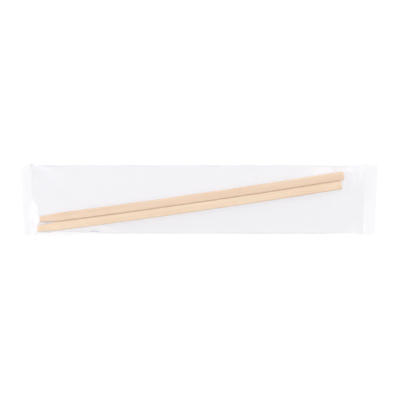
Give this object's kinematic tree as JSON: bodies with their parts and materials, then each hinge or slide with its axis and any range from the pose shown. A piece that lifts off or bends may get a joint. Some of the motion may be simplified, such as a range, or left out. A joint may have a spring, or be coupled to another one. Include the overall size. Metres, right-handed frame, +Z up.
{
  "type": "bamboo chopsticks in a clear film sleeve",
  "caption": "Pair of straight bamboo chopsticks with tapered tips, lying side by side in a long flat sleeve of clear film sealed at both ends.",
  "frame": {"origin": "under the middle of the sleeve's outline, on the surface it lies on", "axes": "+X along the sleeve from the chopsticks' tips to their handle ends, +Y across it, +Z up"},
  "size_m": [0.2688, 0.0534, 0.0065],
  "materials": {
    "bamboo": "sanded, unvarnished",
    "film": "clear glossy plastic film"
  },
  "bodies": {
    "root": {"chopstick_left": "bamboo", "chopstick_right": "bamboo", "film_sleeve": "film"}
  },
  "joints": []
}
